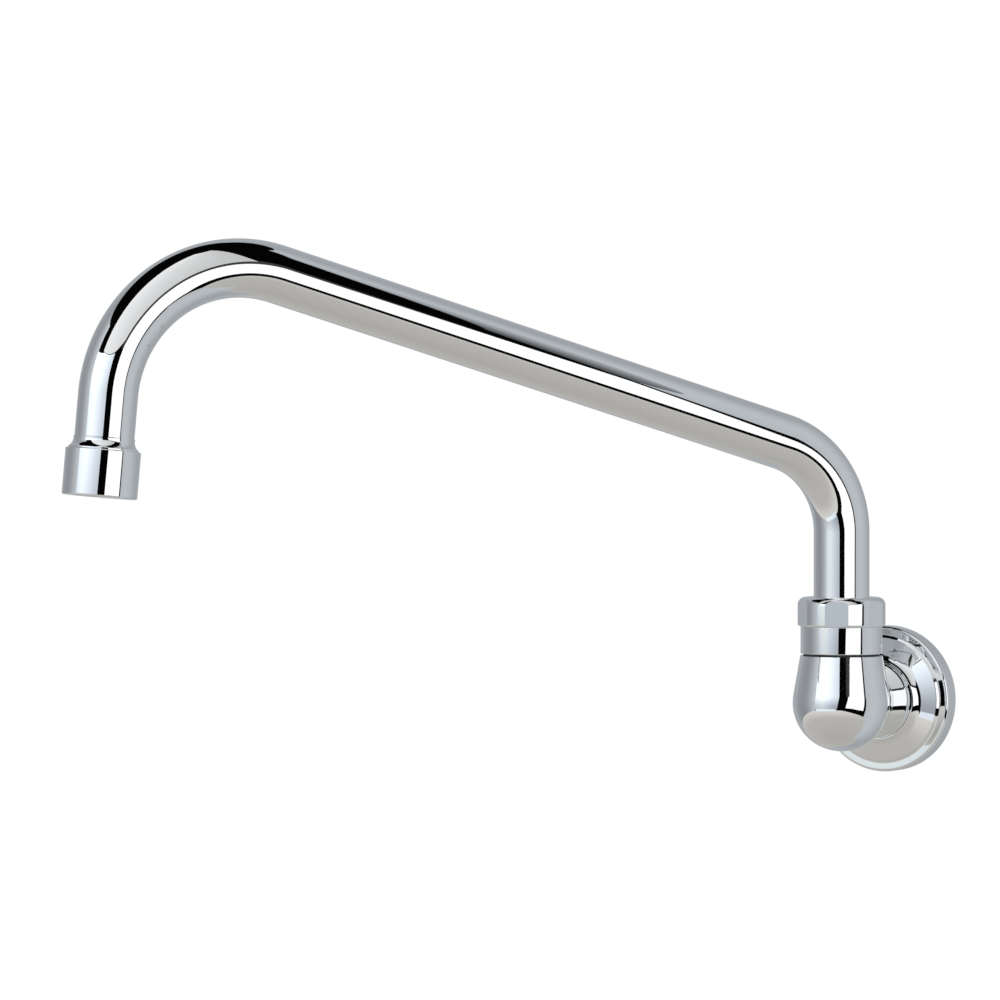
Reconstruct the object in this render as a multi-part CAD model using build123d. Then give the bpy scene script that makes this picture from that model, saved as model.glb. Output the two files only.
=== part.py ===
from build123d import *
from math import acos, asin, atan2, cos, radians, sin, sqrt, tan
import os

# Wall-mounted swing-spout faucet, in millimetres.
# The origin is on the wall plane, on the axis of the supply nipple.
# +Z is up, +Y goes into the wall, and the faucet stands out towards -Y.

# Running and fitting clearances, all radial
thread_clearance = 0.05
swivel_clearance = 0.05
seal_clearance = 0.02
seat_clearance = 0.05
flange_clearance = 0.1
tube_hole_clearance = 0.25

# Elbow body: a ball under a tapered flank, with a boss towards the wall
axis_from_wall = 37.5
ball_radius = 16.65
ball_rise = 0.2
neck_radius = 14.1
neck_top = 16.3
boss_radius = 13.4
boss_end_from_wall = 3.0
boss_blend = 1.2
passage_radius = 7.0
passage_depth = 7.5
inlet_passage_radius = 6.6

# Half-inch pipe nipple
pipe_thread_radius = 10.45
pipe_plain_radius = 10.67
pipe_bore_radius = 7.9
nipple_length = 38.1
nipple_engagement = 14.0
nipple_plain_length = 2.0
nipple_chamfer = 1.0

# Wall flange
flange_radius = 25.4
flange_edge_round = 1.1
flange_bead_height = 6.4
flange_valley_radius = 22.3
flange_valley_height = 6.2
flange_face_radius = 21.4
flange_face_height = 7.0
flange_face_tilt = 18.0
flange_cove_radius = 5.0
flange_cove_start = 16.5
flange_lip_width = 0.3
flange_wall = 1.5
flange_collar_back = 4.5
flange_groove_front = 2.6

# Rubber rings: squeezed cross-sections, radial by axial
ring_radial = 1.4
ring_axial = 2.1
groove_width = 2.4

# Swivel adapter, screwed into the elbow
gasket_thickness = 0.7
gasket_width = 2.6
band_radius = 14.0
band_height = 9.5
band_edge = 0.35
shank_radius = 10.4
shank_length = 10.0
adapter_neck_radius = 12.4
adapter_neck_height = 5.2
spigot_floor_depth = 0.5

# Spout nut, a hexagon turned almost round
nut_radius = 15.0
nut_across_flats = 28.9
nut_height = 9.9
nut_top_round = 2.7
nut_bottom_edge = 0.7
nut_turn = 20.0
glide_thickness = 0.7

# Spigot brazed in the foot of the spout
spigot_bore_radius = 5.6
spigot_gap = 0.6
spigot_plug_length = 8.0
spigot_collar = 1.2
lower_groove_height = 1.8
groove_spacing = 5.0
split_thickness = 1.4
split_depth = 1.1
split_overhang = 2.3
split_opening = 4.0

# Spout tube, three-quarter-inch outside diameter
tube_radius = 9.525
tube_wall = 1.2
reach = 266.7
riser_bend_height = 58.6
riser_bend_radius = 32.3
arm_slope = 16.3
outlet_bend_radius = 45.3
outlet_straight = 17.3
outlet_lean = 5.2
spout_swing = -34.5

# Outlet end brazed on the tube
outlet_cove_height = 3.4
outlet_cove_edge = 0.3
outlet_lip_radius = 11.2
outlet_lip_height = 0.5
outlet_socket = 2.5
outlet_thread_radius = 10.9
outlet_thread_length = 5.6
outlet_seat_radius = 7.6

# Aerator
housing_radius = 12.0
housing_height = 15.0
housing_edge = 0.6
mouth_radius = 8.9
mouth_lip = 1.4
washer_thickness = 1.6
washer_hole_radius = 8.5
rim_thickness = 1.0
rim_radius = 10.85
barrel_radius = 10.1
recess_radius = 9.1
recess_depth = 2.4
barrel_bore_radius = 8.0
disc_thickness = 1.2
disc_jets = 12
jet_radius = 0.6
jet_circle_radius = 6.4
disc_boss_radius = 2.6
disc_boss_height = 0.9
regulator_radius = 4.3
regulator_section = 0.75
strainer_wall = 0.4
strainer_rise = 1.5
screen_thickness = 0.45
screen_gap = 0.15
screen_pitch = 1.9
screen_web = 0.5
screen_rings = 4

# Heights along the swivel axis
band_bottom = neck_top + gasket_thickness
band_top = band_bottom + band_height
adapter_top = band_top + adapter_neck_height
split_bottom = adapter_top + seat_clearance
split_top = split_bottom + split_thickness
glide_bottom = split_top + seat_clearance
nut_ceiling = glide_bottom + glide_thickness
spigot_floor = band_bottom + spigot_floor_depth
spigot_bottom = spigot_floor + spigot_gap
tube_foot = split_top + spigot_collar
spigot_radius = tube_radius - seal_clearance
swivel_bore_radius = spigot_radius + swivel_clearance
tube_bore_radius = tube_radius - tube_wall
groove_floor_radius = swivel_bore_radius - seal_clearance - ring_radial

# Places: local Z is the turning axis of the piece
wall_place = Plane(origin=(0, 0, 0), x_dir=(1, 0, 0), z_dir=(0, -1, 0)).location
upright_place = Pos(0, -axis_from_wall, 0)
spout_place = upright_place * Rot(Z=spout_swing - 90)


def turned(place, *corners):
    """Solid turned from a closed outline of (radius, height, corner radius) points."""
    points = [(radius, 0, height) for radius, height, _ in corners]
    outline = FilletPolyline(*points, radius=[corner[2] for corner in corners], close=True)
    return place * revolve(make_face(outline), Axis.Z)


def ring(place, inner, outer, bottom, top, edge=0.0):
    """Plain round ring, with its outer corners rounded by edge."""
    return turned(place, (inner, bottom, 0), (outer, bottom, edge), (outer, top, edge), (inner, top, 0))


def rod(place, radius, bottom, top):
    """Plain round bar or bore."""
    return place * Pos(0, 0, bottom) * extrude(Circle(radius), top - bottom)


def rubber_ring(place, middle_radius, height):
    """Rubber ring squeezed in its groove."""
    section = Plane.XZ * Pos(middle_radius, height) * Ellipse(ring_radial / 2, ring_axial / 2)
    return place * revolve(section, Axis.Z)


def wall_nipple():
    """Pipe nipple with a plain band between its two threaded ends."""
    inner_end = boss_end_from_wall + nipple_engagement
    outer_end = inner_end - nipple_length
    plain_end = boss_end_from_wall - nipple_plain_length
    return turned(
        wall_place,
        (pipe_bore_radius, outer_end, 0),
        (pipe_thread_radius - nipple_chamfer, outer_end, 0),
        (pipe_thread_radius, outer_end + nipple_chamfer, 0),
        (pipe_thread_radius, plain_end, 0),
        (pipe_plain_radius, plain_end, 0),
        (pipe_plain_radius, boss_end_from_wall, 0),
        (pipe_thread_radius, boss_end_from_wall, 0),
        (pipe_thread_radius, inner_end, 0),
        (pipe_bore_radius, inner_end, 0),
    )


def flank_tangent():
    """Point where the flank from the neck touches the ball."""
    rise = neck_top - ball_rise
    distance = sqrt(neck_radius**2 + rise**2)
    angle = atan2(rise, neck_radius) - acos(ball_radius / distance)
    return angle, (ball_radius * cos(angle), 0, ball_rise + ball_radius * sin(angle))


def elbow_body():
    """Teardrop casting: ball, tapered flank and boss, bored as an elbow."""
    angle, touch = flank_tangent()
    half_way = (angle - radians(90)) / 2
    lowest = (0, 0, ball_rise - ball_radius)
    belly = (ball_radius * cos(half_way), 0, ball_rise + ball_radius * sin(half_way))
    outline = Polyline(lowest, (0, 0, neck_top), (neck_radius, 0, neck_top), touch)
    teardrop = revolve(make_face(outline + ThreePointArc(touch, belly, lowest)), Axis.Z)
    body = upright_place * teardrop + rod(wall_place, boss_radius, boss_end_from_wall, axis_from_wall)
    seam = body.edges().filter_by(GeomType.BSPLINE)
    body = fillet(seam, boss_blend)
    socket_floor = band_bottom - shank_length
    body -= rod(upright_place, shank_radius + thread_clearance, socket_floor, neck_top)
    body -= rod(upright_place, passage_radius, -passage_depth, socket_floor)
    socket_end = boss_end_from_wall + nipple_engagement
    body -= rod(wall_place, pipe_thread_radius + thread_clearance, boss_end_from_wall, socket_end)
    body -= rod(wall_place, inlet_passage_radius, socket_end, axis_from_wall)
    return body


def on_arc(middle, radius, tilt):
    """Point at a distance from (radius, height) middle, tilted outwards from the axis."""
    return middle[0] + radius * sin(tilt), middle[1] + radius * cos(tilt)


def flat(*points):
    """(radius, height) points as points of the turning plane."""
    return [(radius, 0, height) for radius, height in points]


def flange_front():
    """Half sections of the flange's front: its edge, the step behind the bead and the cove."""
    tilt = radians(flange_face_tilt)
    rim = (flange_radius - flange_edge_round, flange_bead_height - flange_edge_round)
    rim_arc = flat(
        (flange_radius, rim[1]),
        on_arc(rim, flange_edge_round, radians(45)),
        (rim[0], flange_bead_height),
    )
    step = flat((flange_valley_radius, flange_valley_height), (flange_face_radius, flange_face_height))
    cone_end = (flange_cove_start, flange_face_height + (flange_face_radius - flange_cove_start) * tan(tilt))
    cove = on_arc(cone_end, flange_cove_radius, tilt)
    lip_radius = boss_radius + flange_clearance + flange_lip_width
    steepest = asin((cove[0] - lip_radius) / flange_cove_radius)
    lip = on_arc(cove, -flange_cove_radius, steepest)
    cove_arc = flat(cone_end, on_arc(cove, -flange_cove_radius, (tilt + steepest) / 2), lip)
    return rim_arc, step, cove_arc


def wall_flange():
    """Hollow escutcheon with a collar that slides on the boss."""
    rim_arc, step, cove_arc = flange_front()
    bore = boss_radius + flange_clearance
    lip_height = cove_arc[2][2]
    foot = Polyline(cove_arc[2], (bore, 0, lip_height), (bore, 0, 0), (flange_radius, 0, 0), rim_arc[0])
    face = Polyline(rim_arc[2], *step, cove_arc[0])
    flange = revolve(make_face(foot + ThreePointArc(*rim_arc) + face + ThreePointArc(*cove_arc)), Axis.Z)
    groove_outer = boss_radius + seal_clearance + ring_radial
    collar_outer = groove_outer + flange_wall
    hollow_outer = flange_radius - flange_wall
    hollow_top = flange_valley_height - flange_wall
    hollow = turned(
        Pos(0, 0, 0),
        (bore, 0, 0),
        (hollow_outer, 0, 0),
        (hollow_outer, hollow_top, 0),
        (flange_valley_radius, hollow_top, 0),
        (collar_outer, cove_arc[0][2] - flange_wall, 0),
        (collar_outer, flange_collar_back, 0),
        (bore, flange_collar_back, 0),
    )
    groove_top = lip_height - flange_groove_front
    groove = ring(Pos(0, 0, 0), bore, groove_outer, groove_top - groove_width, groove_top)
    return wall_place * (flange - hollow - groove)


def flange_o_ring():
    """Rubber ring that grips the boss inside the flange's collar."""
    lip_height = flange_front()[2][2][2]
    groove_middle = lip_height - flange_groove_front - groove_width / 2
    return rubber_ring(wall_place, boss_radius + seal_clearance + ring_radial / 2, groove_middle)


def adapter_gasket():
    """Flat washer between the elbow and the swivel adapter."""
    inner = shank_radius + thread_clearance
    return ring(upright_place, inner, inner + gasket_width, neck_top, band_bottom)


def swivel_adapter():
    """Threaded adapter whose bore carries the spout's spigot."""
    return turned(
        upright_place,
        (passage_radius, band_bottom - shank_length, 0),
        (shank_radius, band_bottom - shank_length, 0.5),
        (shank_radius, band_bottom, 0),
        (band_radius, band_bottom, band_edge),
        (band_radius, band_top, band_edge),
        (adapter_neck_radius, band_top, 0),
        (adapter_neck_radius, adapter_top, 0.4),
        (swivel_bore_radius, adapter_top, 0.3),
        (swivel_bore_radius, spigot_floor, 0),
        (passage_radius, spigot_floor, 0),
    )


def spout_nut():
    """Spout nut: a turned cap with six shallow wrench flats."""
    hole = tube_radius + tube_hole_clearance
    thread = adapter_neck_radius + thread_clearance
    nut_top = band_top + nut_height
    cap = turned(
        upright_place,
        (thread, band_top, 0),
        (nut_radius, band_top, nut_bottom_edge),
        (nut_radius, nut_top, nut_top_round),
        (hole, nut_top, 0.3),
        (hole, nut_ceiling, 0),
        (thread, nut_ceiling, 0),
    )
    hexagon = RegularPolygon(nut_across_flats / 2, 6, major_radius=False, rotation=nut_turn)
    return cap & upright_place * Pos(0, 0, band_top) * extrude(hexagon, nut_height)


def glide_washer():
    """Plastic washer between the nut and the split ring."""
    inner = tube_radius + tube_hole_clearance
    return ring(upright_place, inner, adapter_neck_radius, glide_bottom, nut_ceiling)


def split_ring():
    """Split ring in the spigot's top groove, which holds the spout down."""
    inner = spigot_radius - split_depth
    body = ring(spout_place, inner, spigot_radius + split_overhang, split_bottom, split_top, 0.2)
    gap = Box(2 * spigot_radius, split_opening, split_thickness, align=(Align.MIN, Align.CENTER, Align.MIN))
    return body - spout_place * Pos(0, 0, split_bottom) * gap


def groove_corners(bottom):
    """Corners of one rubber ring's groove, going up the spigot."""
    return [
        (spigot_radius, bottom, 0),
        (groove_floor_radius, bottom, 0),
        (groove_floor_radius, bottom + groove_width, 0),
        (spigot_radius, bottom + groove_width, 0),
    ]


def swivel_spigot():
    """Turned brass foot of the spout, with grooves for its seals and split ring."""
    lower = spigot_bottom + lower_groove_height
    split_floor = spigot_radius - split_depth
    return turned(
        spout_place,
        (spigot_bore_radius, spigot_bottom, 0),
        (spigot_radius, spigot_bottom, 0.6),
        *groove_corners(lower),
        *groove_corners(lower + groove_spacing),
        (spigot_radius, split_bottom, 0),
        (split_floor, split_bottom, 0),
        (split_floor, split_top, 0),
        (spigot_radius, split_top, 0),
        (spigot_radius, tube_foot, 0),
        (tube_bore_radius, tube_foot, 0),
        (tube_bore_radius, tube_foot + spigot_plug_length, 0.5),
        (spigot_bore_radius, tube_foot + spigot_plug_length, 0),
    )


def spigot_ring(number):
    """Rubber ring on the spigot, counted from the bottom."""
    lower = spigot_bottom + lower_groove_height + groove_width / 2
    return rubber_ring(spout_place, groove_floor_radius + ring_radial / 2, lower + number * groove_spacing)


def spout_corners():
    """Corners of the tube's middle line, and its visible end, in the spout's own plane."""
    slope = radians(arm_slope)
    lean = radians(outlet_lean)
    first_turn = radians(90) - slope
    second_turn = radians(90) + slope - lean
    first = (0, 0, riser_bend_height + riser_bend_radius * tan(first_turn / 2))
    drop = outlet_straight + outlet_bend_radius * tan(second_turn / 2)
    second_x = reach - drop * sin(lean)
    second = (second_x, 0, first[2] + second_x * tan(slope))
    end = (reach, 0, second[2] - drop * cos(lean))
    return first, second, end


def outlet_place():
    """Place of the outlet pieces: local Z runs down the stream from the tube's visible end."""
    lean = radians(outlet_lean)
    end = spout_corners()[2]
    down = (sin(lean), 0, -cos(lean))
    return spout_place * Plane(origin=end, x_dir=(cos(lean), 0, sin(lean)), z_dir=down).location


def spout_tube():
    """Bent tube: riser, rising arm and down-turned outlet."""
    first, second, end = spout_corners()
    lean = radians(outlet_lean)
    tip = (end[0] + outlet_socket * sin(lean), 0, end[2] - outlet_socket * cos(lean))
    path = FilletPolyline(
        (0, 0, tube_foot), first, second, tip, radius=[riser_bend_radius, outlet_bend_radius]
    )
    section = Plane(origin=(0, 0, tube_foot)) * (Circle(tube_radius) - Circle(tube_bore_radius))
    return spout_place * sweep(section, path=path)


def outlet_ferrule():
    """Brass end of the spout: a flared lip over the aerator's thread."""
    top = -outlet_lip_height - outlet_cove_height
    edge = tube_radius + outlet_cove_edge
    width = outlet_lip_radius - edge
    hollow = sin(radians(45))
    cove = ThreePointArc(
        (edge, 0, top),
        (outlet_lip_radius - hollow * width, 0, top + hollow * outlet_cove_height),
        (outlet_lip_radius, 0, -outlet_lip_height),
    )
    outline = cove + Polyline(
        (outlet_lip_radius, 0, -outlet_lip_height),
        (outlet_lip_radius, 0, 0),
        (outlet_thread_radius, 0, 0),
        (outlet_thread_radius, 0, outlet_thread_length),
        (outlet_seat_radius, 0, outlet_thread_length),
        (outlet_seat_radius, 0, outlet_socket),
        (tube_radius, 0, outlet_socket),
        (tube_radius, 0, top),
        (edge, 0, top),
    )
    return outlet_place() * revolve(make_face(outline), Axis.Z)


# Heights down the aerator, from the top of its housing
washer_bottom = outlet_thread_length + washer_thickness
rim_bottom = washer_bottom + rim_thickness
recess_floor = washer_bottom + recess_depth
disc_top = recess_floor - disc_thickness
lip_top = housing_height - mouth_lip
lower_screen_top = lip_top - screen_thickness
upper_screen_top = lower_screen_top - screen_gap - screen_thickness


def aerator_housing():
    """Chromed shell of the aerator, screwed on the outlet's thread."""
    thread = outlet_thread_radius + thread_clearance
    barrel = barrel_radius + thread_clearance
    return turned(
        outlet_place(),
        (thread, 0, 0),
        (housing_radius, 0, 0.3),
        (housing_radius, housing_height, housing_edge),
        (mouth_radius, housing_height, 0.4),
        (mouth_radius, lip_top, 0),
        (barrel, lip_top, 0),
        (barrel, rim_bottom, 0),
        (thread, rim_bottom, 0),
    )


def aerator_washer():
    """Rubber washer that seals the aerator on the outlet's end."""
    return ring(outlet_place(), washer_hole_radius, rim_radius, outlet_thread_length, washer_bottom)


def aerator_cartridge():
    """Plastic barrel that holds the strainer and the disc."""
    return turned(
        outlet_place(),
        (recess_radius, washer_bottom, 0),
        (rim_radius, washer_bottom, 0),
        (rim_radius, rim_bottom, 0),
        (barrel_radius, rim_bottom, 0),
        (barrel_radius, upper_screen_top, 0),
        (barrel_bore_radius, upper_screen_top, 0),
        (barrel_bore_radius, recess_floor, 0),
        (recess_radius, recess_floor, 0),
    )


def inlet_strainer():
    """Domed strainer over the disc, pierced in rings."""
    rim = recess_radius - seat_clearance
    dome_radius = washer_hole_radius - strainer_wall
    skirt_top = washer_bottom
    apex = skirt_top - strainer_rise
    strainer = turned(
        Pos(0, 0, 0),
        (dome_radius - 2 * strainer_wall, disc_top, 0),
        (rim, disc_top, 0),
        (rim, skirt_top, 0),
        (dome_radius, skirt_top, 0),
        (dome_radius * 0.6, apex, 2.0),
        (0, apex, 0),
        (0, apex + strainer_wall, 0),
        (dome_radius * 0.6 - strainer_wall / 2, apex + strainer_wall, 2.0),
        (dome_radius - 2 * strainer_wall, skirt_top + strainer_wall, 0),
    )
    for holes, radius in ((1, 0), (6, 1.7), (12, 3.4)):
        for place in PolarLocations(radius, holes):
            strainer -= place * rod(Pos(0, 0, 0), jet_radius, apex - strainer_wall, skirt_top)
    return outlet_place() * strainer


def metering_disc():
    """Disc whose ring of jets meters the flow and draws in air."""
    rim = recess_radius - seat_clearance
    disc = rod(Pos(0, 0, 0), rim, disc_top, recess_floor)
    disc += rod(Pos(0, 0, 0), disc_boss_radius, disc_top - disc_boss_height, disc_top)
    for place in PolarLocations(jet_circle_radius, disc_jets):
        disc -= place * rod(Pos(0, 0, 0), jet_radius, disc_top, recess_floor)
    return outlet_place() * disc


def regulator_ring():
    """Rubber ring on the disc that evens the flow."""
    ring_place = outlet_place() * Pos(0, 0, disc_top - regulator_section)
    return ring_place * Torus(regulator_radius, regulator_section)


def screen(top, turn):
    """Pierced screen with hexagonal openings in rings round its middle."""
    disc = Circle(barrel_radius)
    opening = RegularPolygon((screen_pitch - screen_web) / 2, 6, major_radius=False, rotation=30)
    openings = []
    for column in range(-screen_rings, screen_rings + 1):
        for row in range(-screen_rings, screen_rings + 1):
            if abs(column + row) <= screen_rings:
                across = (column + row / 2) * screen_pitch
                along = row * screen_pitch * sqrt(3) / 2
                openings.append(Pos(across, along) * opening)
    plate = extrude(disc - openings, screen_thickness)
    return outlet_place() * Pos(0, 0, top) * Rot(Z=turn) * plate


pieces = {
    "wall_nipple": wall_nipple(),
    "elbow_body": elbow_body(),
    "wall_flange": wall_flange(),
    "flange_o_ring": flange_o_ring(),
    "adapter_gasket": adapter_gasket(),
    "swivel_adapter": swivel_adapter(),
    "spout_nut": spout_nut(),
    "glide_washer": glide_washer(),
    "split_ring": split_ring(),
    "swivel_spigot": swivel_spigot(),
    "lower_o_ring": spigot_ring(0),
    "upper_o_ring": spigot_ring(1),
    "spout_tube": spout_tube(),
    "outlet_ferrule": outlet_ferrule(),
    "aerator_housing": aerator_housing(),
    "aerator_washer": aerator_washer(),
    "aerator_cartridge": aerator_cartridge(),
    "inlet_strainer": inlet_strainer(),
    "metering_disc": metering_disc(),
    "regulator_ring": regulator_ring(),
    "upper_screen": screen(upper_screen_top, 0),
    "lower_screen": screen(lower_screen_top, 30),
}

os.makedirs("parts", exist_ok=True)
for name, piece in pieces.items():
    piece.label = name
    export_step(piece, f"parts/{name}.step")
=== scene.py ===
"""Wall faucet with a swing spout: its visual pieces, their materials and the studio round them."""

from math import acos, asin, atan2, ceil, cos, pi, radians, sin, sqrt, tan

import bpy
from mathutils import Matrix, Vector


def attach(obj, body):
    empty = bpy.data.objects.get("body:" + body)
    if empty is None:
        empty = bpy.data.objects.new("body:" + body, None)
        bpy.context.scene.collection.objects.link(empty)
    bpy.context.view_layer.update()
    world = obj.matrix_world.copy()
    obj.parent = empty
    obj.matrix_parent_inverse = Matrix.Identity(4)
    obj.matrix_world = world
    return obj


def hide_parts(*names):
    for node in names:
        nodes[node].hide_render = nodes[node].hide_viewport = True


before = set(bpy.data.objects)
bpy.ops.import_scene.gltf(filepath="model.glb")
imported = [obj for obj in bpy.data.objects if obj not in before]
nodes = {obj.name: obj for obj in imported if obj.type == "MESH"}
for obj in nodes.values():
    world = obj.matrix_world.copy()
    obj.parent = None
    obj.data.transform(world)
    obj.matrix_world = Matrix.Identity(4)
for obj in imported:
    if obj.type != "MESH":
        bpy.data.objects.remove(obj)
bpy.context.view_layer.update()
mm = 0.001

# Sizes in millimetres and angles in degrees, mostly as the part's own source gives them
axis_from_wall = 37.5
ball_radius = 16.65
ball_rise = 0.2
neck_radius = 14.1
neck_top = 16.3
boss_radius = 13.4
boss_end_from_wall = 3.0
boss_blend = 1.2

thread_clearance = 0.05
swivel_clearance = 0.05
seal_clearance = 0.02
seat_clearance = 0.05
flange_clearance = 0.1
tube_hole_clearance = 0.25

pipe_crest_radius = 10.45
pipe_plain_radius = 10.67
pipe_bore_radius = 7.9
pipe_thread_pitch = 1.814
pipe_thread_depth = 1.05
pipe_thread_run_out = 3.0
nipple_length = 38.1
nipple_engagement = 14.0
nipple_plain_length = 2.0
nipple_chamfer = 1.0

flange_radius = 25.4
flange_edge_round = 1.1
flange_bead_height = 6.4
flange_valley_radius = 22.3
flange_valley_height = 6.2
flange_face_radius = 21.4
flange_face_height = 7.0
flange_face_tilt = 18.0
flange_step_round = 0.8
flange_cove_radius = 5.0
flange_cove_start = 16.5
flange_lip_width = 0.3
flange_wall = 1.5
flange_collar_back = 4.5
flange_groove_front = 2.6
ring_radial = 1.4
groove_width = 2.4

gasket_thickness = 0.7
band_radius = 14.0
band_height = 9.5
band_edge = 0.35
shank_radius = 10.4
shank_length = 10.0
shank_edge = 0.5
passage_radius = 7.0
adapter_neck_radius = 12.4
adapter_neck_height = 5.2
adapter_neck_edge = 0.4
swivel_bore_edge = 0.3
spigot_floor_depth = 0.5

nut_radius = 15.0
nut_across_flats = 28.9
nut_height = 9.9
nut_top_round = 2.7
nut_bottom_edge = 0.7
nut_hole_edge = 0.3
nut_turn = 20.0
glide_thickness = 0.7
split_thickness = 1.4
spigot_collar = 1.2

tube_radius = 9.525
tube_wall = 1.2
reach = 266.7
riser_bend_height = 58.6
riser_bend_radius = 32.3
arm_slope = 16.3
outlet_bend_radius = 45.3
outlet_straight = 17.3
outlet_lean = 5.2
spout_swing = -34.5

outlet_cove_height = 3.4
outlet_cove_edge = 0.3
outlet_lip_radius = 11.2
outlet_lip_height = 0.5
outlet_socket = 2.5
outlet_thread_radius = 10.9
outlet_thread_length = 5.6
outlet_seat_radius = 7.6

housing_radius = 12.0
housing_height = 15.0
housing_edge = 0.6
housing_back_edge = 0.3
mouth_radius = 8.9
mouth_edge = 0.4
mouth_lip = 1.4
washer_thickness = 1.6
rim_thickness = 1.0
barrel_radius = 10.1
screen_thickness = 0.45
screen_gap = 0.15
screen_rim_width = 0.7
screen_rim_edge = 0.1
wire_radius = 0.11
wire_pitch = 0.85
wire_end_inset = 0.45
wire_crimp = 0.95

band_bottom = neck_top + gasket_thickness
band_top = band_bottom + band_height
adapter_top = band_top + adapter_neck_height
split_top = adapter_top + seat_clearance + split_thickness
nut_ceiling = split_top + seat_clearance + glide_thickness
spigot_floor = band_bottom + spigot_floor_depth
tube_foot = split_top + spigot_collar
swivel_bore_radius = tube_radius - seal_clearance + swivel_clearance
lip_top = housing_height - mouth_lip
lower_screen_top = lip_top - screen_thickness
upper_screen_top = lower_screen_top - screen_gap - screen_thickness

# Angles of the spout in its own plane, in radians
slope, lean = radians(arm_slope), radians(outlet_lean)
riser_turn, outlet_turn = radians(90) - slope, radians(90) + slope - lean

# How finely the pieces are drawn, in degrees and metres
arc_step = 5
merge_distance = mm / 500
cut_tolerance = mm / 1000

# Places: local Z is the turning axis of the piece
drawn_place = Matrix.Identity(4)
wall_place = Matrix(((1, 0, 0, 0), (0, 0, -1, 0), (0, 1, 0, 0), (0, 0, 0, 1)))
upright_place = Matrix.Translation((0, -axis_from_wall * mm, 0))
spout_place = upright_place @ Matrix.Rotation(radians(spout_swing - 90), 4, "Z")


def scene_object(name, data):
    """New object of the scene, at the origin."""
    made = bpy.data.objects.new(name, data)
    bpy.context.scene.collection.objects.link(made)
    return made


def select_only(piece):
    """Makes a piece the one that the next steps work on."""
    bpy.ops.object.select_all(action="DESELECT")
    piece.select_set(True)
    bpy.context.view_layer.objects.active = piece


# Turned pieces


def arc(middle, start, end):
    """Points round a middle from start to end, every few degrees."""
    first = atan2(start.y - middle.y, start.x - middle.x)
    sweep = (atan2(end.y - middle.y, end.x - middle.x) - first + pi) % (2 * pi) - pi
    size = (start - middle).length
    steps = max(2, ceil(abs(sweep) / radians(arc_step)))
    turns = [first + sweep * step / steps for step in range(steps + 1)]
    return [middle + size * Vector((cos(turn), sin(turn))) for turn in turns]


def arc_through(start, between, end):
    """Points of the round cove that passes through three points."""
    a, b = between - start, end - start
    cross = 2 * (a.x * b.y - a.y * b.x)
    across = b.y * a.length_squared - a.y * b.length_squared
    up = a.x * b.length_squared - b.x * a.length_squared
    middle = start + Vector((across, up)) / cross
    return arc(middle, start, between)[:-1] + arc(middle, between, end)


def rounded(corners):
    """Closed outline of (radius, height, corner radius) points, with its corners rounded."""
    points = []
    for number, (radius, height, corner) in enumerate(corners):
        here = Vector((radius, height))
        if not corner:
            points.append(here)
            continue
        back = (Vector(corners[number - 1][:2]) - here).normalized()
        onward = (Vector(corners[(number + 1) % len(corners)][:2]) - here).normalized()
        half = back.angle(onward) / 2
        middle = here + (back + onward).normalized() * corner / sin(half)
        setback = corner / tan(half)
        points += arc(middle, here + back * setback, here + onward * setback)
    return points


def turned(name, place, outline, sides=192, sharp=28):
    """Piece turned about local Z from a closed outline of (radius, height) points in millimetres."""
    # A plane merged into one point, which is drawn along the outline and then spun
    bpy.ops.object.select_all(action="DESELECT")
    bpy.ops.mesh.primitive_plane_add(size=mm)
    piece = bpy.context.object
    piece.name = name
    bpy.ops.object.mode_set(mode="EDIT")
    bpy.ops.mesh.merge(type="CENTER")
    bpy.ops.transform.translate(value=(outline[0].x * mm, 0, outline[0].y * mm))
    for here, onward in zip(outline, outline[1:] + outline[:1]):
        step = (onward - here) * mm
        bpy.ops.mesh.extrude_vertices_move(TRANSFORM_OT_translate={"value": (step.x, 0, step.y)})
    bpy.ops.mesh.select_all(action="SELECT")
    bpy.ops.mesh.spin(steps=sides, angle=2 * pi, center=(0, 0, 0), axis=(0, 0, 1))
    close_up()
    settle(piece, place, sharp)
    return piece


def close_up():
    """Joins what meets and turns every face outwards, in edit mode."""
    bpy.ops.mesh.select_all(action="SELECT")
    bpy.ops.mesh.remove_doubles(threshold=merge_distance)
    bpy.ops.mesh.normals_make_consistent(inside=False)


def settle(piece, place, sharp):
    """Puts a finished mesh in its place and smooths what isn't a real edge."""
    bpy.ops.object.mode_set(mode="OBJECT")
    piece.matrix_world = place
    select_only(piece)
    bpy.ops.object.transform_apply(location=True, rotation=True, scale=True)
    bpy.ops.object.shade_smooth_by_angle(angle=radians(sharp))


# Elbow body


def flank_tilt():
    """Angle above level at which the flank from the neck touches the ball."""
    rise = neck_top - ball_rise
    distance = sqrt(neck_radius**2 + rise**2)
    return atan2(rise, neck_radius) - acos(ball_radius / distance)


def teardrop_point(direction):
    """Point of the teardrop seen from the ball's middle in a direction, up to a little above its neck."""
    spare_height, least_cosine = 3, 0.05
    tilt = flank_tilt()
    level = asin(max(-1.0, min(1.0, direction.z)))
    distance = ball_radius
    if level > tilt:
        distance = ball_radius / max(cos(level - tilt), least_cosine)
        distance = min(distance, (neck_top + spare_height - ball_rise) / sin(level))
    return Vector((0, -axis_from_wall, ball_rise)) + direction * distance


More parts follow.
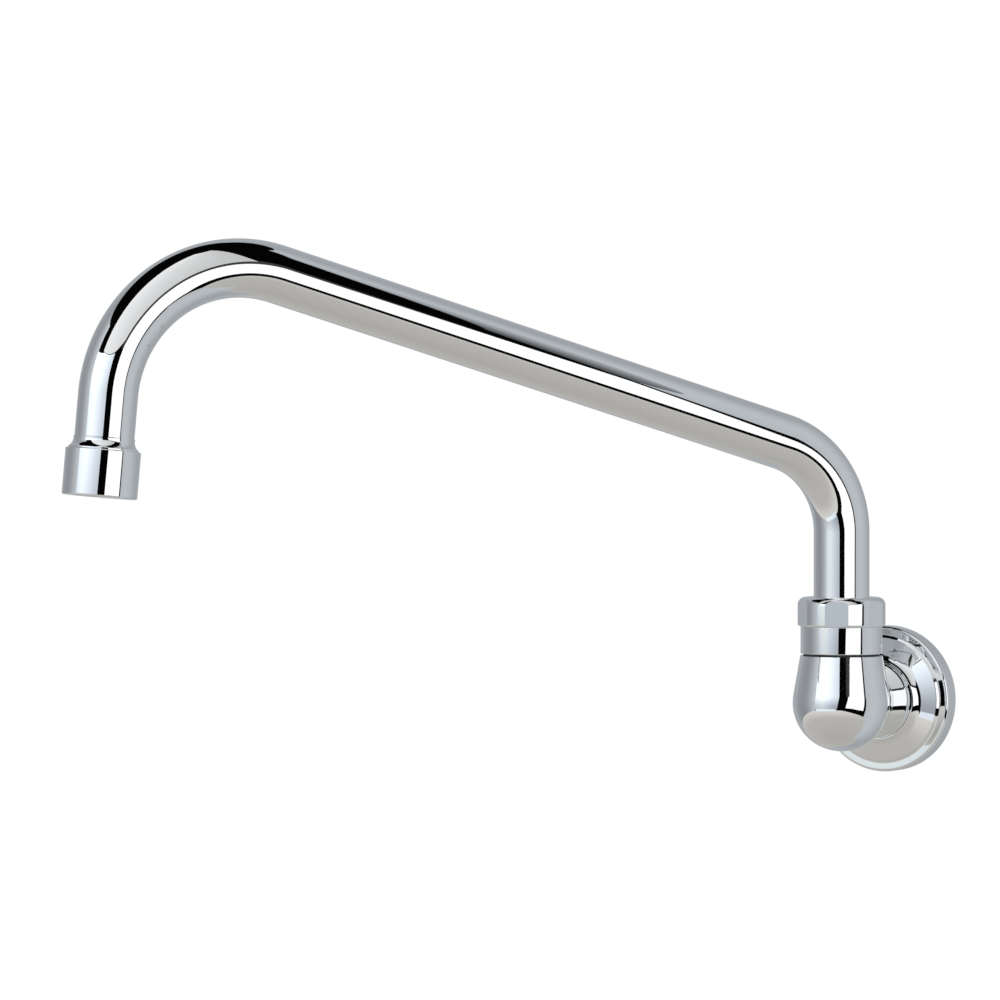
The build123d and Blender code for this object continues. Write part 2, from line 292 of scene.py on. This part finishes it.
def blend_middle(turn):
    """Middle of the ball that rolls between boss and teardrop, and the teardrop's normal there."""
    tilt = flank_tilt()
    x, z = (boss_radius + boss_blend) * cos(turn), (boss_radius + boss_blend) * sin(turn)
    size = ball_radius + boss_blend
    rise = z - ball_rise
    if rise < size * sin(tilt):
        around = sqrt(size**2 - rise**2)
        y = sqrt(around**2 - x**2)
        normal = Vector((x, y, rise)).normalized()
    else:
        around = (size - rise * sin(tilt)) / cos(tilt)
        y = sqrt(around**2 - x**2)
        normal = Vector((cos(tilt) * x / around, cos(tilt) * y / around, sin(tilt)))
    return Vector((x, y - axis_from_wall, z)), normal


def elbow_body():
    """Teardrop casting with its boss, blended where they meet, and open at both sockets."""
    columns, blend_rows, drop_rows = 240, 10, 150
    middle = Vector((0, -axis_from_wall, ball_rise))
    front = Vector((0, -1, 0))
    bore = pipe_crest_radius + thread_clearance
    socket_end = Vector((0, -boss_end_from_wall - nipple_engagement, 0))
    boss_end = Vector((0, -boss_end_from_wall, 0))
    lines = []
    for column in range(columns):
        turn = 2 * pi * column / columns
        out = Vector((cos(turn), 0, sin(turn)))
        ball, normal = blend_middle(turn)
        line = [socket_end, socket_end + out * bore, boss_end + out * bore, boss_end + out * boss_radius]
        for step in range(blend_rows + 1):
            line.append(ball + boss_blend * (-out).slerp(-normal, step / blend_rows))
        start = (line[-1] - middle).normalized()
        for step in range(1, drop_rows + 1):
            line.append(teardrop_point(start.slerp(front, step / drop_rows)))
        lines.append(line)
    points = [point * mm for row in zip(*lines) for point in row]
    faces = []
    for here in range(0, len(points) - columns, columns):
        onward = here + columns
        for column in range(columns):
            after = (column + 1) % columns
            faces.append((here + column, here + after, onward + after, onward + column))
    mesh = bpy.data.meshes.new("elbow_casting")
    mesh.from_pydata(points, [], faces)
    piece = scene_object("elbow_casting", mesh)
    select_only(piece)
    bpy.ops.object.mode_set(mode="EDIT")
    close_up()
    bpy.ops.mesh.select_all(action="SELECT")
    bpy.ops.mesh.bisect(plane_co=(0, 0, neck_top * mm), plane_no=(0, 0, 1), use_fill=True, clear_outer=True)
    bpy.ops.mesh.inset(thickness=(neck_radius - shank_radius - thread_clearance) * mm)
    depth = neck_top - band_bottom + shank_length
    bpy.ops.mesh.extrude_region_move(TRANSFORM_OT_translate={"value": (0, 0, -depth * mm)})
    close_up()
    settle(piece, drawn_place, sharp=28)
    return piece


# Nipple, flange, adapter and nut


def wall_nipple():
    """Pipe nipple with a plain band between its two threaded ends."""
    rings_per_thread, flank_steepness, crest_tolerance = 10, 1.25, 0.02
    inner_end = boss_end_from_wall + nipple_engagement
    outer_end = inner_end - nipple_length
    plain_end = boss_end_from_wall - nipple_plain_length
    ring_step = pipe_thread_pitch / rings_per_thread
    heights = [outer_end + ring_step * step for step in range(ceil((inner_end - outer_end) / ring_step))]
    outline = [(pipe_bore_radius, outer_end), (pipe_crest_radius - nipple_chamfer, outer_end)]
    for height in heights[1:]:
        radius = pipe_plain_radius if plain_end <= height <= boss_end_from_wall else pipe_crest_radius
        outline.append((radius, height))
    outline += [(pipe_crest_radius, inner_end), (pipe_bore_radius, inner_end)]
    outline = [Vector(point) for point in outline]
    piece = turned("threaded_nipple", drawn_place, outline, sides=96, sharp=50)
    # The thread: the rings at the crest's radius are drawn in along a helix
    for vertex in piece.data.vertices:
        radius = vertex.co.xy.length / mm
        height = vertex.co.z / mm
        if abs(radius - pipe_crest_radius) > crest_tolerance:
            continue
        turn = atan2(vertex.co.y, vertex.co.x) / (2 * pi)
        phase = (height / pipe_thread_pitch - turn) % 1
        cut = pipe_thread_depth * min(1.0, flank_steepness * (1 - abs(2 * phase - 1)))
        to_plain = min(abs(height - plain_end), abs(height - boss_end_from_wall))
        run_out = min(1.0, to_plain / pipe_thread_run_out)
        chamfer = max(0.0, nipple_chamfer - (height - outer_end))
        new = min(radius - cut * run_out, radius - chamfer)
        vertex.co.xy *= new / radius
    settle(piece, wall_place, sharp=50)
    return piece


def on_arc(middle, radius, tilt):
    """Point at a distance from (radius, height) middle, tilted outwards from the axis."""
    return Vector((middle[0] + radius * sin(tilt), middle[1] + radius * cos(tilt)))


def flange_outline():
    """The escutcheon's section: edge, bead, step, face, cove, lip, collar and hollow back."""
    tilt = radians(flange_face_tilt)
    face_rise = (flange_face_radius - flange_cove_start) * tan(tilt)
    face_end = Vector((flange_cove_start, flange_face_height + face_rise))
    cove = on_arc(face_end, flange_cove_radius, tilt)
    lip_radius = boss_radius + flange_clearance + flange_lip_width
    steepest = asin((cove.x - lip_radius) / flange_cove_radius)
    lip = on_arc(cove, -flange_cove_radius, steepest)
    bore = boss_radius + flange_clearance
    groove_outer = boss_radius + seal_clearance + ring_radial
    groove_top = lip.y - flange_groove_front
    groove_bottom = groove_top - groove_width
    collar_outer = groove_outer + flange_wall
    hollow_outer = flange_radius - flange_wall
    hollow_top = flange_valley_height - flange_wall
    front = rounded([
        (flange_radius, 0, 0), (flange_radius, flange_bead_height, flange_edge_round),
        (flange_valley_radius, flange_valley_height, flange_step_round),
        (flange_face_radius, flange_face_height, flange_step_round), (face_end.x, face_end.y, 0),
    ])
    back = [
        (bore, lip.y), (bore, groove_top), (groove_outer, groove_top), (groove_outer, groove_bottom),
        (bore, groove_bottom), (bore, flange_collar_back), (collar_outer, flange_collar_back),
        (collar_outer, face_end.y - flange_wall), (flange_valley_radius, hollow_top),
        (hollow_outer, hollow_top), (hollow_outer, 0),
    ]
    return front + arc(cove, face_end, lip)[1:] + [Vector(point) for point in back]


def swivel_adapter():
    """Adapter with its plain band below the spout nut."""
    foot = band_bottom - shank_length
    corners = [
        (passage_radius, foot, 0), (shank_radius, foot, shank_edge), (shank_radius, band_bottom, 0),
        (band_radius, band_bottom, band_edge), (band_radius, band_top, band_edge),
        (adapter_neck_radius, band_top, 0), (adapter_neck_radius, adapter_top, adapter_neck_edge),
        (swivel_bore_radius, adapter_top, swivel_bore_edge), (swivel_bore_radius, spigot_floor, 0),
        (passage_radius, spigot_floor, 0),
    ]
    return turned("adapter_band", upright_place, rounded(corners))


def spout_nut():
    """Spout nut: a turned cap with six shallow wrench flats."""
    flats, least_flat_area, level_normal = 6, 20, 0.01
    hole = tube_radius + tube_hole_clearance
    thread = adapter_neck_radius + thread_clearance
    top = band_top + nut_height
    corners = [
        (thread, band_top, 0), (nut_radius, band_top, nut_bottom_edge),
        (nut_radius, top, nut_top_round), (hole, top, nut_hole_edge),
        (hole, nut_ceiling, 0), (thread, nut_ceiling, 0),
    ]
    piece = turned("nut_cap", upright_place, rounded(corners), sides=288, sharp=8)
    bpy.ops.object.mode_set(mode="EDIT")
    for side in range(flats):
        turn = radians(nut_turn + (side + 0.5) * 360 / flats)
        out = Vector((cos(turn), sin(turn), 0))
        flat = Vector((0, -axis_from_wall, 0)) + out * nut_across_flats / 2
        bpy.ops.mesh.select_all(action="SELECT")
        bpy.ops.mesh.bisect(
            plane_co=flat * mm, plane_no=out, use_fill=True, clear_outer=True, threshold=cut_tolerance
        )
    close_up()
    settle(piece, drawn_place, sharp=8)
    # The large upright faces are the flats, and the only ones that stay flat
    for polygon in piece.data.polygons:
        small = polygon.area < least_flat_area * mm * mm
        polygon.use_smooth = small or abs(polygon.normal.z) > level_normal
    return piece


# Spout


def spout_corners():
    """Corners of the tube's middle line and its visible end, in the spout's own plane."""
    first = Vector((0, 0, riser_bend_height + riser_bend_radius * tan(riser_turn / 2)))
    drop = outlet_straight + outlet_bend_radius * tan(outlet_turn / 2)
    second_x = reach - drop * sin(lean)
    second = Vector((second_x, 0, first.z + second_x * tan(slope)))
    end = Vector((reach, 0, second.z - drop * cos(lean)))
    return first, second, end


def outlet_place():
    """Place of the outlet pieces: local Z runs down the stream from the tube's visible end."""
    end = spout_corners()[2] * mm
    return spout_place @ Matrix((
        (cos(lean), 0, sin(lean), end.x),
        (0, -1, 0, 0),
        (sin(lean), 0, -cos(lean), end.z),
        (0, 0, 0, 1),
    ))


def spout_tube():
    """Bent tube: riser, rising arm and down-turned outlet, with its wall."""
    first, second, _ = spout_corners()
    along = Vector((cos(slope), 0, sin(slope)))
    down = Vector((sin(lean), 0, -cos(lean)))
    arm_start = first + along * riser_bend_radius * tan(riser_turn / 2)
    arm_end = second - along * (outlet_bend_radius * tan(outlet_turn / 2))
    first_middle = Vector((riser_bend_radius, 0, riser_bend_height))
    second_middle = arm_end + Vector((sin(slope), 0, -cos(slope))) * outlet_bend_radius
    bpy.ops.object.select_all(action="DESELECT")
    bpy.ops.mesh.primitive_circle_add(vertices=160, radius=tube_radius * mm)
    piece = bpy.context.object
    piece.name = "bent_spout"
    bpy.ops.object.mode_set(mode="EDIT")
    bpy.ops.transform.translate(value=(0, 0, tube_foot * mm))

    def run(step):
        """Draws the tube's open end on in a straight line."""
        bpy.ops.mesh.extrude_region_move(TRANSFORM_OT_translate={"value": step * mm})

    def bend(turn, middle, steps):
        """Draws the tube's open end on round a middle."""
        bpy.ops.mesh.spin(steps=steps, angle=turn, center=middle * mm, axis=(0, -1, 0))

    run(Vector((0, 0, riser_bend_height - tube_foot)))
    bend(riser_turn, first_middle, steps=56)
    run(arm_end - arm_start)
    bend(outlet_turn, second_middle, steps=90)
    run(down * (outlet_straight + outlet_socket))
    close_up()
    bpy.ops.object.mode_set(mode="OBJECT")
    wall = piece.modifiers.new("tube_wall", "SOLIDIFY")
    wall.thickness = tube_wall * mm
    wall.offset = -1
    bpy.ops.object.modifier_apply(modifier="tube_wall")
    settle(piece, spout_place, sharp=40)
    return piece


def outlet_ferrule():
    """Flared end of the spout over the aerator's thread."""
    top = -outlet_lip_height - outlet_cove_height
    edge = tube_radius + outlet_cove_edge
    width = outlet_lip_radius - edge
    hollow = sin(radians(45))
    between = Vector((outlet_lip_radius - hollow * width, top + hollow * outlet_cove_height))
    outline = arc_through(Vector((edge, top)), between, Vector((outlet_lip_radius, -outlet_lip_height)))
    rest = [
        (outlet_lip_radius, 0), (outlet_thread_radius, 0), (outlet_thread_radius, outlet_thread_length),
        (outlet_seat_radius, outlet_thread_length), (outlet_seat_radius, outlet_socket),
        (tube_radius, outlet_socket), (tube_radius, top),
    ]
    return turned("outlet_flare", outlet_place(), outline + [Vector(point) for point in rest])


def aerator_housing():
    """Chromed shell of the aerator."""
    thread = outlet_thread_radius + thread_clearance
    barrel = barrel_radius + thread_clearance
    rim_bottom = outlet_thread_length + washer_thickness + rim_thickness
    corners = [
        (thread, 0, 0), (housing_radius, 0, housing_back_edge),
        (housing_radius, housing_height, housing_edge), (mouth_radius, housing_height, mouth_edge),
        (mouth_radius, lip_top, 0), (barrel, lip_top, 0), (barrel, rim_bottom, 0), (thread, rim_bottom, 0),
    ]
    return turned("aerator_shell", outlet_place(), rounded(corners))


def woven_screen(name, top, turn):
    """Screen woven of round wire, with a pressed rim."""
    drawing = bpy.data.curves.new(name, "CURVE")
    drawing.dimensions = "3D"
    drawing.bevel_depth = wire_radius * mm
    drawing.bevel_resolution = 0
    drawing.resolution_u = 1
    rim_inside = barrel_radius - screen_rim_width
    wires = int(rim_inside / wire_pitch)
    middle, bottom = top + screen_thickness / 2, top + screen_thickness
    for direction in (0, 1):
        for wire in range(-wires, wires + 1):
            across = wire * wire_pitch
            half = sqrt((barrel_radius - wire_end_inset) ** 2 - across**2)
            crossings = int(half / wire_pitch)
            stops = [step * wire_pitch / 2 for step in range(-2 * crossings, 2 * crossings + 1)]
            stops = [-half, *stops, half]
            line = drawing.splines.new("POLY")
            line.points.add(len(stops) - 1)
            for point, along in zip(line.points, stops):
                over = cos(pi * (along / wire_pitch + wire + direction)) * wire_radius * wire_crimp
                x, y = (along, across) if direction else (across, along)
                point.co = (x * mm, y * mm, (middle + over) * mm, 1)
    weave = scene_object(name, drawing)
    select_only(weave)
    bpy.ops.object.convert(target="MESH")
    weave = bpy.context.object
    turned(name + "_rim", drawn_place, rounded([
        (rim_inside, top, screen_rim_edge), (barrel_radius, top, screen_rim_edge),
        (barrel_radius, bottom, screen_rim_edge), (rim_inside, bottom, screen_rim_edge),
    ]), sides=72)
    # The rim stays selected, so that it joins the weave
    weave.select_set(True)
    bpy.context.view_layer.objects.active = weave
    bpy.ops.object.join()
    settle(weave, outlet_place() @ Matrix.Rotation(radians(turn), 4, "Z"), sharp=60)
    return weave


# Finishes


def add_node(tree, kind, inputs):
    """New shader node, with its inputs set to values or linked to other nodes' outputs."""
    node = tree.nodes.new("ShaderNode" + kind)
    for socket, source in inputs.items():
        if isinstance(source, bpy.types.NodeSocket):
            tree.links.new(source, node.inputs[socket])
        else:
            node.inputs[socket].default_value = source
    return node


def finish_material(name, colour, metallic, roughness):
    """Material with its node tree, its shader and the piece's own coordinates."""
    material = bpy.data.materials.new(name)
    material.use_nodes = True
    tree = material.node_tree
    shader = tree.nodes["Principled BSDF"]
    shader.inputs["Base Color"].default_value = (*colour, 1)
    shader.inputs["Metallic"].default_value = metallic
    shader.inputs["Roughness"].default_value = roughness
    place = add_node(tree, "TexCoord", {}).outputs["Object"]
    return material, tree, shader, place


def grain(tree, place, scale, detail, stretch=(1, 1, 1)):
    """Noise on the piece's own coordinates, scale in marks per metre."""
    mapping = add_node(tree, "Mapping", {"Vector": place, "Scale": stretch})
    noise = {"Vector": mapping.outputs[0], "Scale": scale, "Detail": detail}
    return add_node(tree, "TexNoise", noise).outputs["Fac"]


def vary(tree, fac, shader, low, high):
    """Spreads the middle of a noise's range between two roughnesses."""
    spread = {"Value": fac, "From Min": 0.35, "From Max": 0.65, "To Min": low, "To Max": high}
    tree.links.new(add_node(tree, "MapRange", spread).outputs[0], shader.inputs["Roughness"])


def tint(tree, fac, shader, low, high):
    """Spreads the middle of a noise's range between two base colours."""
    ramp = add_node(tree, "ValToRGB", {"Fac": fac})
    for stop, position, colour in zip(ramp.color_ramp.elements, (0.3, 0.7), (low, high)):
        stop.position = position
        stop.color = (*colour, 1)
    tree.links.new(ramp.outputs[0], shader.inputs["Base Color"])


def bump(tree, fac, shader, depth):
    """Turns a noise into relief of a depth in millimetres."""
    relief = add_node(tree, "Bump", {"Height": fac, "Strength": 1.0, "Distance": depth * mm})
    tree.links.new(relief.outputs[0], shader.inputs["Normal"])


def polished_chrome():
    """Bright plating with the faintest haze where it has been wiped."""
    material, tree, shader, place = finish_material("polished_chrome", (0.9, 0.91, 0.92), 1.0, 0.03)
    vary(tree, grain(tree, place, 55, 4), shader, 0.012, 0.035)
    bump(tree, grain(tree, place, 140, 2), shader, 0.0015)
    return material


def machined_brass():
    """Brass with fine marks of its turning."""
    material, tree, shader, place = finish_material("machined_brass", (0.72, 0.5, 0.22), 1.0, 0.28)
    tint(tree, grain(tree, place, 160, 5), shader, (0.62, 0.41, 0.17), (0.8, 0.58, 0.28))
    vary(tree, grain(tree, place, 300, 4), shader, 0.2, 0.38)
    bump(tree, grain(tree, place, 900, 3, (1, 6, 1)), shader, 0.01)
    return material


def seal_rubber():
    """Black rubber, dull and slightly uneven."""
    material, tree, shader, place = finish_material("seal_rubber", (0.03, 0.03, 0.035), 0.0, 0.6)
    tint(tree, grain(tree, place, 900, 4), shader, (0.022, 0.022, 0.026), (0.045, 0.045, 0.05))
    vary(tree, grain(tree, place, 400, 3), shader, 0.5, 0.72)
    bump(tree, grain(tree, place, 2500, 3), shader, 0.01)
    return material


def acetal_plastic():
    """Off-white moulded plastic with a soft sheen."""
    material, tree, shader, place = finish_material("acetal_plastic", (0.8, 0.81, 0.79), 0.0, 0.35)
    tint(tree, grain(tree, place, 300, 3), shader, (0.76, 0.77, 0.75), (0.84, 0.85, 0.83))
    vary(tree, grain(tree, place, 700, 3), shader, 0.28, 0.42)
    bump(tree, grain(tree, place, 1800, 3), shader, 0.006)
    return material


def fibre_gasket():
    """Dark pressed fibre in flat layers."""
    material, tree, shader, place = finish_material("pressed_fibre", (0.05, 0.05, 0.055), 0.0, 0.8)
    tint(tree, grain(tree, place, 1600, 6, (1, 1, 4)), shader, (0.03, 0.03, 0.034), (0.08, 0.08, 0.085))
    bump(tree, grain(tree, place, 2200, 5, (1, 1, 4)), shader, 0.03)
    return material


def steel_wire():
    """Drawn steel wire."""
    material, tree, shader, place = finish_material("steel_wire", (0.6, 0.6, 0.61), 1.0, 0.25)
    tint(tree, grain(tree, place, 500, 3), shader, (0.52, 0.52, 0.53), (0.68, 0.68, 0.69))
    vary(tree, grain(tree, place, 1500, 3), shader, 0.18, 0.34)
    bump(tree, grain(tree, place, 6000, 2), shader, 0.003)
    return material


chrome = polished_chrome()
brass = machined_brass()
rubber = seal_rubber()
plastic = acetal_plastic()
fibre = fibre_gasket()
steel = steel_wire()


def fit(piece, node, body, material):
    """Gives a finished piece its material and sets it in place of its plain node."""
    piece.data.materials.clear()
    piece.data.materials.append(material)
    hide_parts(node)
    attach(piece, body)


fit(wall_nipple(), "wall_nipple", "root", brass)
fit(elbow_body(), "elbow_body", "root", chrome)
fit(swivel_adapter(), "swivel_adapter", "root", chrome)
fit(spout_nut(), "spout_nut", "root", chrome)
fit(turned("escutcheon", wall_place, flange_outline()), "wall_flange", "flange", chrome)
fit(spout_tube(), "spout_tube", "spout", chrome)
fit(outlet_ferrule(), "outlet_ferrule", "spout", chrome)
fit(aerator_housing(), "aerator_housing", "spout", chrome)
fit(woven_screen("upper_weave", upper_screen_top, 0), "upper_screen", "spout", steel)
fit(woven_screen("lower_weave", lower_screen_top, 45), "lower_screen", "spout", steel)

# The pieces that stay as the frame has them
for material, names in (
    (brass, ("swivel_spigot",)),
    (rubber, ("flange_o_ring", "lower_o_ring", "upper_o_ring", "aerator_washer", "regulator_ring")),
    (plastic, ("glide_washer", "split_ring", "aerator_cartridge", "inlet_strainer", "metering_disc")),
    (fibre, ("adapter_gasket",)),
):
    for name in names:
        nodes[name].data.materials.clear()
        nodes[name].data.materials.append(material)


# Studio

# Camera, fitted to the photograph's perspective, in metres
camera_place = Vector((0.67764, -1.39228, 0.08803))
camera_aim = Vector((-0.10065, -0.09698, 0.06957))
shot = bpy.data.cameras.new("shot")
shot.lens = 158.88
shot.sensor_width = 36
shot.clip_start, shot.clip_end = 0.05, 50
camera = scene_object("shot", shot)
camera.location = camera_place
camera.rotation_euler = (camera_aim - camera_place).to_track_quat("-Z", "Y").to_euler()
bpy.context.scene.camera = camera

towards = (camera_place - camera_aim).to_2d().normalized()
sideways = Vector((-towards.y, towards.x))


def studio_point(azimuth, level, distance):
    """Point of the studio, by its bearing right of the camera and its angle above level, in degrees."""
    bearing, rise = radians(azimuth), radians(level)
    flat = cos(bearing) * towards + sin(bearing) * sideways
    return camera_aim + distance * Vector((flat.x * cos(rise), flat.y * cos(rise), sin(rise)))


def grey(level, tone):
    """Linear shade for a grey that shows at a level of 0 to 255 in the chrome, with a slight tone."""
    chrome_share = 0.91
    shown = level / 255
    # The sRGB curve of a shown value
    linear = shown / 12.92 if shown <= 0.04045 else ((shown + 0.055) / 1.055) ** 2.4
    return tuple(linear * part / chrome_share for part in tone)


def card_material(name, shades, fade, strength):
    """Plain self-lit card, its shades given from its left side to its right, faded towards its foot: the
    shades are painted light in place of a lit studio surface, and the fade is painted shade.
    """
    material = bpy.data.materials.new(name)
    material.use_nodes = True
    tree = material.node_tree
    tree.nodes.clear()
    spread = add_node(tree, "UVMap", {})
    parts = add_node(tree, "SeparateXYZ", {0: spread.outputs[0]})
    ramp = add_node(tree, "ValToRGB", {"Fac": parts.outputs["X"]})
    ramp.color_ramp.interpolation = "B_SPLINE"
    while len(ramp.color_ramp.elements) < len(shades):
        ramp.color_ramp.elements.new(0.5)
    for number, shade in enumerate(shades):
        ramp.color_ramp.elements[number].position = number / (len(shades) - 1)
        ramp.color_ramp.elements[number].color = (*shade, 1)
    foot = add_node(tree, "MapRange", {
        "Value": parts.outputs["Y"], "To Min": fade * strength, "To Max": strength,
    })
    foot.interpolation_type = "SMOOTHSTEP"
    glow = add_node(tree, "Emission", {"Color": ramp.outputs[0], "Strength": foot.outputs[0]})
    add_node(tree, "OutputMaterial", {"Surface": glow.outputs[0]})
    return material


def card(name, corners, levels, tone=(1, 1, 1), near=1.4, far=None, fade=1.0, strength=1.0):
    """Card round the faucet, between four (bearing, level) corners from its bottom left, turning right.

    levels are its greys from left to right, painted light that stands for how brightly the studio surface
    is lit; near and far are the distances of its left and right sides.
    """
    columns, rows = 24, 8
    low_left, low_right, high_right, high_left = (Vector(corner) for corner in corners)
    points, faces, spread = [], [], []
    for column in range(columns + 1):
        across = column / columns
        low, high = low_left.lerp(low_right, across), high_left.lerp(high_right, across)
        for row in range(rows + 1):
            distance = near + ((far or near) - near) * across
            points.append(studio_point(*low.lerp(high, row / rows), distance))
            spread.append((across, row / rows))
    for column in range(columns):
        for row in range(rows):
            first = column * (rows + 1) + row
            faces.append((first, first + 1, first + rows + 2, first + rows + 1))
    mesh = bpy.data.meshes.new(name)
    mesh.from_pydata(points, [], faces)
    layer = mesh.uv_layers.new(name="UVMap")
    for loop in mesh.loops:
        layer.data[loop.index].uv = spread[loop.vertex_index]
    shades = [grey(level, tone) for level in levels]
    mesh.materials.append(card_material(name, shades, fade, strength))
    piece = scene_object(name, mesh)
    piece.visible_camera = False
    piece.visible_shadow = False


def band(left, right, low_left, low_right, high_right, high_left):
    """Four corners of a card with upright sides."""
    return (left, low_left), (right, low_right), (right, high_right), (left, high_left)


cool = (0.95, 1.0, 1.05)
bluish = (0.92, 1.0, 1.09)
beige = (1.03, 1.0, 0.94)

# All round: a black card for the darkness behind everything, and glowing cards for the floor below, their
# greys painted light
card("dark_surround", band(-180, 180, -90, -90, 90, 90), (4, 4), near=3.0)
card("floor_cloth", band(-180, 180, -89.5, -89.5, -38, -38), (177, 177), beige, near=2.2, fade=0.9)
card("floor_far", band(-180, 180, -38, -38, -17, -17), (208, 208), beige, near=2.2, fade=0.7)

# Left of the camera: glowing cards for grey walls and a bright panel, their greys painted light, dimmed
# towards their foot by painted shade
card("back_wall_left", band(-180, -140, -30, -28, 46, 62), (170, 165), cool, near=1.8)
card("side_wall_left", band(-140, -68, -28, -17, 38, 46), (165, 148, 150, 215), cool, near=1.8, fade=0.85)
card("panel_foot", band(-66, -13, -20, -20, -15.3, -15.3), (238, 240, 228), bluish, near=1.42)
card("soft_panel_left", band(-68, -41, -15.5, -15.5, 24.5, 26), (225, 250, 240), bluish,
     fade=0.45, strength=1.5)
card("soft_panel", ((-41, -15.5), (-10.5, -15.5), (-4, 17.5), (-41, 24.5)), (240, 212, 184), bluish,
     fade=0.45, strength=1.5)

# Right of the camera: glowing cards for a white board with dark edges, then grey walls, their greys painted
# light
card("board_foot", ((-6, -17), (59, -29), (59, -16), (-6, -11.5)), (4, 4), near=1.45, far=0.95)
card("white_board", ((10, -12.4), (54, -18), (58, 20.5), (17, 12.3)), (255, 255),
     near=1.4, far=0.9, strength=1.15)
card("board_rim", ((20, 11), (58, 17), (44, 27), (11, 14)), (60, 60), near=1.65)
card("side_wall_right", ((59.5, -31), (90, -64), (90, 50), (60.5, 24)), (183, 190, 188), cool,
     near=0.92, far=1.2)
# Painted shade: this card darkens the top of the right wall towards its left edge
card("wall_top", ((60.5, 24), (90, 50), (90, 66), (60, 33)), (60, 130, 165, 178), cool,
     near=0.92, far=1.2)
card("back_wall_right", band(90, 180, -64, -55, 62, 66), (188, 176, 160, 160, 175), cool,
     near=1.2, far=1.8)

# Above: glowing cards for a bright ceiling, painted light that leaves a dark gap over the panel and the
# board
card("ceiling_left", ((-46, 25.8), (-4, 18), (-4, 85), (-46, 85)), (240, 220), near=1.6)
card("ceiling_middle", band(-4, 13, 18, 15.3, 85, 85), (220, 214), near=1.6)
card("ceiling_right", band(13, 44, 15.3, 25, 85, 85), (214, 205, 190), near=1.6)


def floor_material(radius):
    """Pale floor that to the camera thins out towards its rim, into the white surround."""
    fade_start, fade_end, least_clear = 0.3, 0.9 * radius, 0.35
    material = bpy.data.materials.new("studio_floor")
    material.use_nodes = True
    tree = material.node_tree
    paint = tree.nodes["Principled BSDF"]
    paint.inputs["Base Color"].default_value = (0.82, 0.82, 0.81, 1)
    paint.inputs["Roughness"].default_value = 0.9
    place = add_node(tree, "TexCoord", {}).outputs["Object"]
    distance = add_node(tree, "VectorMath", {0: place})
    distance.operation = "LENGTH"
    fade = add_node(tree, "MapRange", {
        "Value": distance.outputs["Value"],
        "From Min": fade_start, "From Max": fade_end, "To Min": least_clear,
    })
    fade.interpolation_type = "SMOOTHSTEP"
    rays = add_node(tree, "LightPath", {})
    clear = add_node(tree, "Math", {0: fade.outputs["Result"], 1: rays.outputs["Is Camera Ray"]})
    clear.operation = "MULTIPLY"
    gap = add_node(tree, "BsdfTransparent", {})
    mix = add_node(tree, "MixShader", {0: clear.outputs[0], 1: paint.outputs[0], 2: gap.outputs[0]})
    tree.links.new(mix.outputs[0], tree.nodes["Material Output"].inputs["Surface"])
    return material


def studio_floor():
    """Round floor far below the faucet, not mirrored in the chrome."""
    radius, level = 3.6, -1.9
    bpy.ops.object.select_all(action="DESELECT")
    bpy.ops.mesh.primitive_circle_add(
        vertices=96, radius=radius, fill_type="NGON", location=(camera_aim.x, camera_aim.y, level)
    )
    floor = bpy.context.object
    floor.name = "studio_floor"
    floor.data.materials.append(floor_material(radius))
    floor.visible_glossy = False


def lamp(name, azimuth, level, distance, size, power):
    """Soft lamp that lights the plain surfaces and isn't mirrored in the chrome."""
    light = bpy.data.lights.new(name, "AREA")
    light.shape = "DISK"
    light.size = size
    light.energy = power
    piece = scene_object(name, light)
    piece.location = studio_point(azimuth, level, distance)
    piece.rotation_euler = (camera_aim - piece.location).to_track_quat("-Z", "Y").to_euler()
    piece.visible_glossy = False
    piece.visible_camera = False


def white_surround():
    """World that the camera, mirrors and glass see as white, and that lights plain surfaces at half."""
    world = bpy.data.worlds.new("white_surround")
    bpy.context.scene.world = world
    world.use_nodes = True
    tree = world.node_tree
    rays = add_node(tree, "LightPath", {}).outputs
    seen = add_node(tree, "Math", {0: rays["Is Camera Ray"], 1: rays["Is Glossy Ray"]})
    seen.operation = "MAXIMUM"
    through = add_node(tree, "Math", {0: seen.outputs[0], 1: rays["Is Transmission Ray"]})
    through.operation = "MAXIMUM"
    strength = add_node(tree, "MapRange", {"Value": through.outputs[0], "To Min": 0.5, "To Max": 1.0})
    sky = tree.nodes["Background"]
    sky.inputs["Color"].default_value = (1, 1, 1, 1)
    tree.links.new(strength.outputs[0], sky.inputs["Strength"])


studio_floor()
lamp("key_light", azimuth=-35, level=50, distance=2.2, size=1.2, power=60)
lamp("fill_light", azimuth=60, level=35, distance=2.4, size=1.4, power=35)
lamp("back_light", azimuth=170, level=40, distance=2.4, size=1.4, power=30)
white_surround()
bpy.context.scene.view_settings.view_transform = "Standard"
